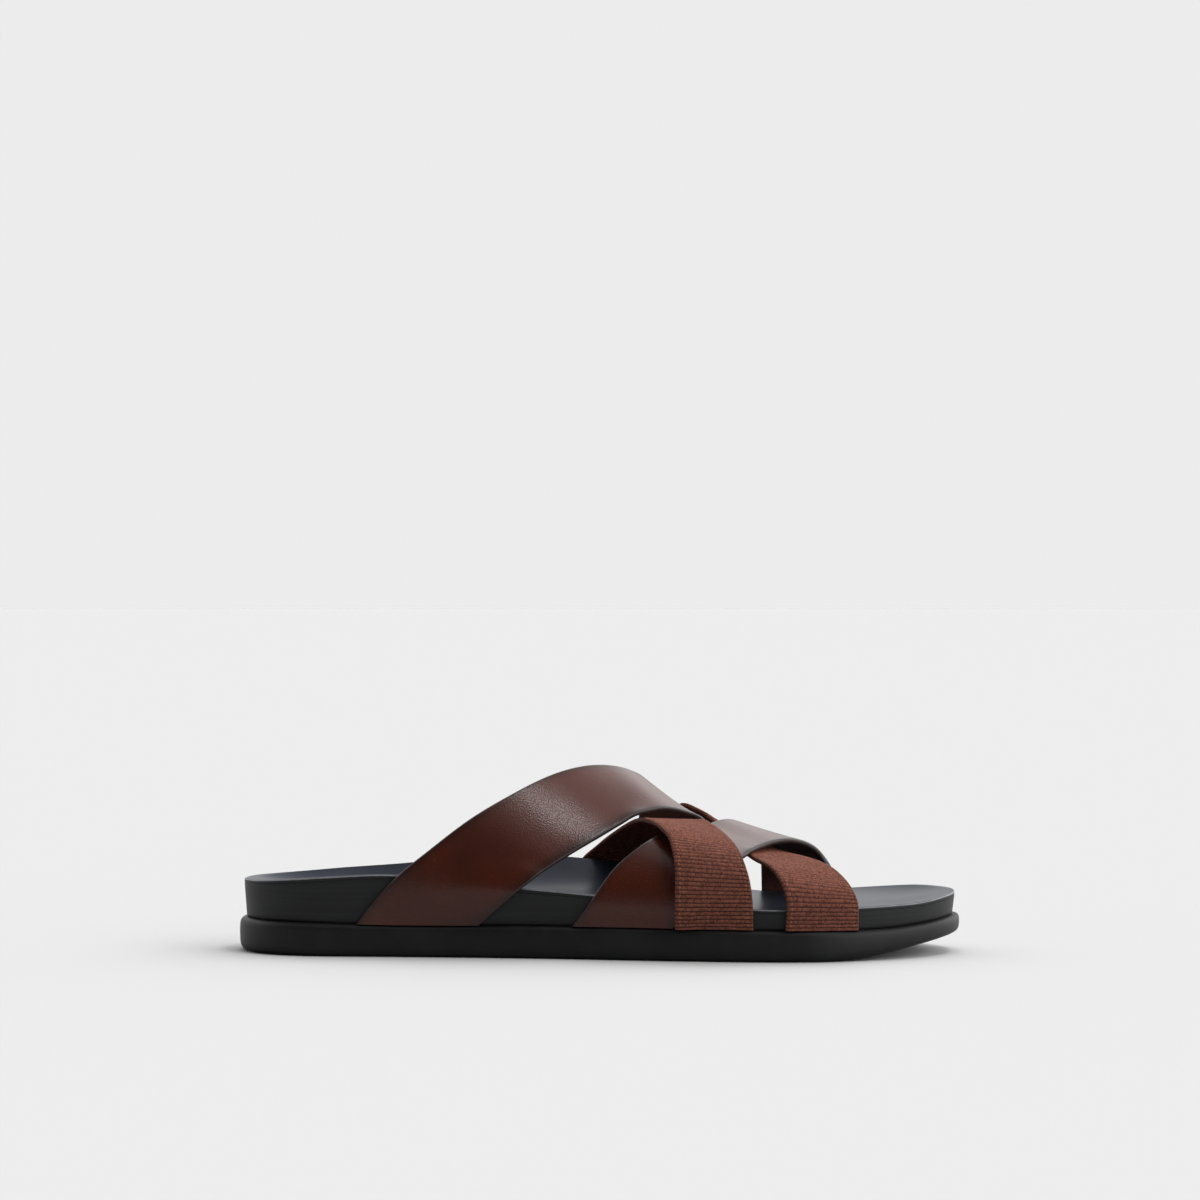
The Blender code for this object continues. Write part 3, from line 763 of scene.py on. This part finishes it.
def resampled(face, rows, lanes):
    """A coarse face made fine along smooth curves, its rows evenly apart along the strap."""
    middle = face[:, face.shape[1] // 2]
    way = np.concatenate([[0], np.cumsum(np.linalg.norm(np.diff(middle, axis=0), axis=1))])
    t = np.linspace(0, way[-1], rows + 1)
    side = np.arange(face.shape[1], dtype=float)
    s = np.linspace(0, side[-1], lanes + 1)
    first = np.stack([[smooth(t, way, face[:, j, k]) for k in range(3)]
                      for j in range(face.shape[1])])
    fine = np.stack([smooth(s, side, first[:, k, i]) for k in range(3) for i in range(rows + 1)])
    return fine.reshape(3, rows + 1, lanes + 1).transpose(1, 2, 0), t


OUTER, EDGE, INNER = range(3)   # the places of a strap's three finishes


def strap_form(face, thick, rows, lanes, edge_round, swell=None):
    """A strap as a flat tube: its outer face, rounded edges and inner face, closed at both ends.

    Each face corner keeps its distance along and round the strap in the map named cloth.
    """
    fine, way = resampled(face, rows, lanes)
    n = standing_off(fine)
    width = np.linalg.norm(fine[:, -1] - fine[:, 0], axis=1)
    span = float(width[rows // 4:-rows // 4].mean())
    turn_in = edge_round / span
    angles = [math.pi / 2 * k / EDGE_STEPS for k in range(EDGE_STEPS + 1)]
    round_x = [edge_round * (1 - math.cos(angle)) for angle in angles]
    round_z = [edge_round * (1 - math.sin(angle)) for angle in angles]
    # the way round the strap: its share of the width, its height, and the finish from there on
    path = []
    for k in range(EDGE_STEPS + 1):
        path.append((round_x[k] / span, thick - round_z[k], EDGE if k < EDGE_STEPS else OUTER))
    for j in range(1, lanes):
        path.append((turn_in + (1 - 2 * turn_in) * j / lanes, thick, OUTER))
    for k in range(EDGE_STEPS, -1, -1):
        path.append((1 - round_x[k] / span, thick - round_z[k], EDGE))
    for k in range(EDGE_STEPS + 1):
        path.append((1 - round_x[k] / span, round_z[k], EDGE if k < EDGE_STEPS else INNER))
    for j in range(lanes - 1, 0, -1):
        path.append((turn_in + (1 - 2 * turn_in) * j / lanes, 0.0, INNER))
    for k in range(EDGE_STEPS, -1, -1):
        path.append((round_x[k] / span, round_z[k], EDGE))
    path.append(path[0])
    around = len(path) - 1
    shares = np.array([p[0] for p in path]) * lanes
    lifts = np.array([p[1] for p in path])
    j = np.clip(shares.astype(int), 0, lanes - 1)
    t = (shares - j)[None, :, None]
    skin = fine[:, j] * (1 - t) + fine[:, j + 1] * t
    skin_n = n[:, j] * (1 - t) + n[:, j + 1] * t
    skin_n /= np.linalg.norm(skin_n, axis=-1, keepdims=True)
    across = shares / lanes * span
    walk = np.concatenate([[0], np.cumsum(np.hypot(np.diff(across), np.diff(lifts)))])
    lift = np.broadcast_to(lifts, skin.shape[:2]).copy()
    if swell is not None:
        lift += swell(way[:, None], across[None, :], span, lifts[None, :] > thick / 2)
    places = skin + skin_n * lift[..., None]
    # both feet end flat, half a gap above the ledge
    for row in (0, -1):
        places[row, :, 2] = ledge(places[row, :, 0]) + GAP * 0.5
    middle = skin[[0, -1]] + skin_n[[0, -1]] * thick / 2
    middle[..., 2] = ledge(middle[..., 0]) + GAP * 0.5
    places = np.concatenate([middle[:1], places, middle[1:]])
    way = np.concatenate([way[:1], way, way[-1:]])
    form = bmesh.new()
    cloth = form.loops.layers.uv.new("cloth")
    bmesh.ops.create_grid(form, x_segments=len(way) - 1, y_segments=around, size=1)
    index = {v: (round((v.co.x + 1) / 2 * (len(way) - 1)), round((v.co.y + 1) / 2 * around))
             for v in form.verts}
    for face in form.faces:
        cells = [index[v] for v in face.verts]
        for loop, cell in zip(face.loops, cells):
            loop[cloth].uv = (way[cell[0]], walk[cell[1]])
        face.material_index = path[min(c[1] for c in cells)][2]
    for vert, cell in index.items():
        vert.co = places[cell] + (-MIDDLE_X, MIDDLE_Y, 0)
    bmesh.ops.remove_doubles(form, verts=form.verts, dist=STRAP_SAME_PLACE)
    bmesh.ops.recalc_face_normals(form, faces=form.faces)
    return form, span, fine, n


# The two leather straps are cut from smooth dark brown calf, lined on the foot's side, with their
# cut edges painted dark. The rear one is the widest and climbs highest over the instep.
LEATHER_CUTS = (240, 36)
LEATHER_EDGE = 0.0008


def to_edge(finish, around, span):
    """How far a place on a strap is from the nearer of its edges."""
    return finish.node("Math", {"operation": "MINIMUM"}, {0: around, 1: span - around})


def leather_finish(span):
    """Polished calf: a fine grain, darker edges, painted shade by the outer foot, a soft waxy shine.
    """
    finish = new_finish("brown_calf")
    place = finish.object_place()
    along, around = finish.parts(finish.cloth_place())[:2]
    from_edge = to_edge(finish, around, span)
    drift = finish.cloudy(place, 26, 4, 0.55)
    pebble = finish.node("TexVoronoi", {"feature": "F1"}, {"Vector": place, "Scale": 1700})
    wrinkle = finish.cloudy(place, 1000, 3, 0.6)
    rich = finish.blend(finish.ease(drift, 0.3, 0.72),
                        (0.033, 0.0084, 0.0050), (0.052, 0.0108, 0.0058))
    # painted shade: the strap is darker over its first few centimetres up from the outer foot,
    # lighter further up
    rich = finish.blend(finish.ease(along, 0.030, 0.080), rich, (0.062, 0.0190, 0.0140))
    # darker within a few millimetres of either edge, with a border that wavers with the drift noise
    edge_darkening = finish.ease(from_edge + drift * 0.004, 0.001, 0.007)
    finish.feed(
        Base_Color=finish.blend(edge_darkening, (0.020, 0.0085, 0.0068), rich),
        Roughness=0.20 + drift * 0.06 + wrinkle * 0.06, Specular_IOR_Level=0.25,
        Normal=finish.relief(pebble * 0.6 + wrinkle * 0.4, 0.00013, 0.6))
    return finish.owner


def edge_finish():
    """Edge paint, dark and half glossy."""
    finish = new_finish("edge_paint")
    place = finish.object_place()
    drag = finish.cloudy(place, 400, 3)
    finish.feed(
        Base_Color=finish.blend(drag, (0.014, 0.0072, 0.0060), (0.026, 0.0130, 0.0108)),
        Roughness=0.38 + drag * 0.1, Specular_IOR_Level=0.30,
        Normal=finish.relief(drag, 0.0001, 0.4))
    return finish.owner


def lining_finish():
    """The lining's soft brown suede side."""
    finish = new_finish("brown_lining")
    place = finish.object_place()
    nap = finish.cloudy(place, 900, 4, 0.7)
    finish.feed(
        Base_Color=finish.blend(nap, (0.050, 0.020, 0.013), (0.090, 0.036, 0.024)),
        Roughness=0.85, Specular_IOR_Level=0.2, Normal=finish.relief(nap, 0.00025, 0.6))
    return finish.owner


painted = edge_finish()
lining = lining_finish()
for name, node in (("rear_leather", "strap_rear_leather"),
                   ("front_leather", "strap_front_leather")):
    form, span = strap_form(strap_faces[name], LEATHER_THICK, *LEATHER_CUTS, LEATHER_EDGE)[:2]
    strap = shown(node + "_calf", form)
    for finish in (leather_finish(span), painted, lining):
        strap.data.materials.append(finish)
    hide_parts(node)


# The two elastic straps are thick brown webbing, woven with ribs straight across. Their edges are
# bound by a narrow border, beside which a row of lighter thread runs in every rib.
RIB_PITCH = 0.00156
RIB_DEPTH = 0.00030
BORDER = 0.0020
THREAD_PITCH = 0.00057
THREAD_LONG = 0.00058     # half the length of a binding thread
THREAD_HALF = 0.00020
THREAD_LEAN = 0.55        # to one side and the other, for each step along
THREAD_STAND = 0.00006    # how far its middle stands out of the webbing's face
RIB_ROUND = 0.45          # the power that rounds a rib's back and narrows the valleys
RIB_LEVEL = 0.7           # the share of a rib's height that lies under the webbing's own face
BORDER_RIB = 0.35         # what is left of the ribs in the borders
WEBBING_CREASE = 1.6
ELASTIC_EDGE = 0.00075
ELASTIC_LANES = 30
THREAD_LANES = (2, 28)    # the lanes that the binding threads run in
ROWS_PER_RIB = 7


def ribbed(way, across, span, outside):
    """How far the ribs stand out: round-backed, with narrow valleys, lower in the borders."""
    rib = np.abs(np.sin(np.pi * way / RIB_PITCH)) ** RIB_ROUND - RIB_LEVEL
    inside = np.clip((np.minimum(across, span - across) - BORDER * 0.7) / 0.0005, 0, 1)
    left = BORDER_RIB + (1 - BORDER_RIB) * inside
    return np.where(outside, 1, -1) * RIB_DEPTH * rib * left


def elastic_finish(span):
    """Brown ribbed elastic: painted light on the rib tops, painted shade in the valleys, plainer
    borders.
    """
    finish = new_finish("brown_elastic")
    along, around = finish.parts(finish.cloth_place())[:2]
    place = finish.object_place()
    fuzz = finish.cloudy(place, 2400, 3, 0.7)
    drift = finish.cloudy(place, 150, 4, 0.6)
    rib = abs(finish.node("Math", {"operation": "SINE"},
                          {0: (along + drift * 0.0004) * (math.pi / RIB_PITCH)}))
    weave = finish.stretched(finish.cloth_place(), (2 / RIB_PITCH, 1 / THREAD_PITCH, 0))
    cells = finish.node("TexVoronoi", {},
                        {"Vector": weave, "Scale": 1.0, "Randomness": 0.8}, "Color")
    thread = finish.parts(cells)[0]
    border = 1 - finish.ease(to_edge(finish, around, span), BORDER - 0.0003, BORDER + 0.0003)
    # painted shade: the colour darkens in the valleys between the ribs; the thread cells give the
    # yarn's own tone, and the borders are plainer
    valley_shade = 1 - finish.ease(rib, 0.15, 0.72)
    lit_and_yarn_tone = (1 - valley_shade * (0.72 + drift * 0.5)) * (0.28 + thread * 1.05) * (1 - border * 0.20)
    worn = finish.ease(drift + fuzz * 0.5, 0.5, 1.0)
    colour = finish.blend(lit_and_yarn_tone, (0.020, 0.0038, 0.0020), (0.180, 0.058, 0.036))
    # lighter fuzz, only on the bright rib tops: partly the yarn's own fuzz, partly painted sheen
    colour = finish.blend(finish.ease(fuzz, 0.5, 0.75) * lit_and_yarn_tone, colour, (0.30, 0.130, 0.090))
    colour = finish.blend(worn * 0.35, colour, (0.085, 0.026, 0.018))
    finish.feed(
        Base_Color=colour, Roughness=0.88, Specular_IOR_Level=0.25,
        Normal=finish.relief(rib * 0.5 + thread * 0.35 + fuzz * 0.5, 0.00022, 0.8))
    return finish.owner


def thread_finish():
    """The lighter binding thread beside the borders."""
    finish = new_finish("binding_thread")
    twist = finish.cloudy(finish.object_place(), 1500, 2)
    finish.feed(
        Base_Color=finish.blend(twist, (0.13, 0.042, 0.023), (0.42, 0.170, 0.102)),
        Roughness=0.8, Specular_IOR_Level=0.3)
    return finish.owner


def binding_threads(fine, n, row_step, lane):
    """A row of short threads over a strap's ribs, one to a rib, leaning to each side in turn."""
    form = bmesh.new()
    for rib in range(1, int((len(fine) - 2) * row_step / RIB_PITCH)):
        row = round((rib + 0.5) * RIB_PITCH / row_step)
        along = fine[row + 1, lane] - fine[row - 1, lane]
        along /= np.linalg.norm(along)
        up = n[row, lane]
        lean = along + np.cross(up, along) * (THREAD_LEAN if rib % 2 else -THREAD_LEAN)
        lean /= np.linalg.norm(lean)
        place = fine[row, lane] + up * (ELASTIC_THICK + THREAD_STAND) + (-MIDDLE_X, MIDDLE_Y, 0)
        axes = (lean * THREAD_LONG, np.cross(up, lean) * THREAD_HALF, up * THREAD_HALF)
        matrix = Matrix([[*(axis[k] for axis in axes), place[k]] for k in range(3)]
                        + [[0, 0, 0, 1]])
        bmesh.ops.create_icosphere(form, subdivisions=1, radius=1, matrix=matrix)
    for face in form.faces:
        face.material_index = 1
    spare = bpy.data.meshes.new("spare")
    form.to_mesh(spare)
    form.free()
    return spare


binding = thread_finish()
for name, node in (("rear_elastic", "strap_rear_elastic"),
                   ("front_elastic", "strap_front_elastic")):
    middle = strap_faces[name][:, STRAP_LANES // 2]
    reach = float(np.linalg.norm(np.diff(middle, axis=0), axis=1).sum())
    rows = int(reach / RIB_PITCH * ROWS_PER_RIB)
    form, span, fine, n = strap_form(
        strap_faces[name], ELASTIC_THICK, rows, ELASTIC_LANES, ELASTIC_EDGE, ribbed)
    # webbing is the same on all its sides
    for face in form.faces:
        face.material_index = 0
    for lane in THREAD_LANES:
        spare = binding_threads(fine, n, reach / rows, lane)
        form.from_mesh(spare)
        bpy.data.meshes.remove(spare)
    strap = shown(node + "_webbing", form, WEBBING_CREASE)
    strap.data.materials.append(elastic_finish(span))
    strap.data.materials.append(binding)
    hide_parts(node)
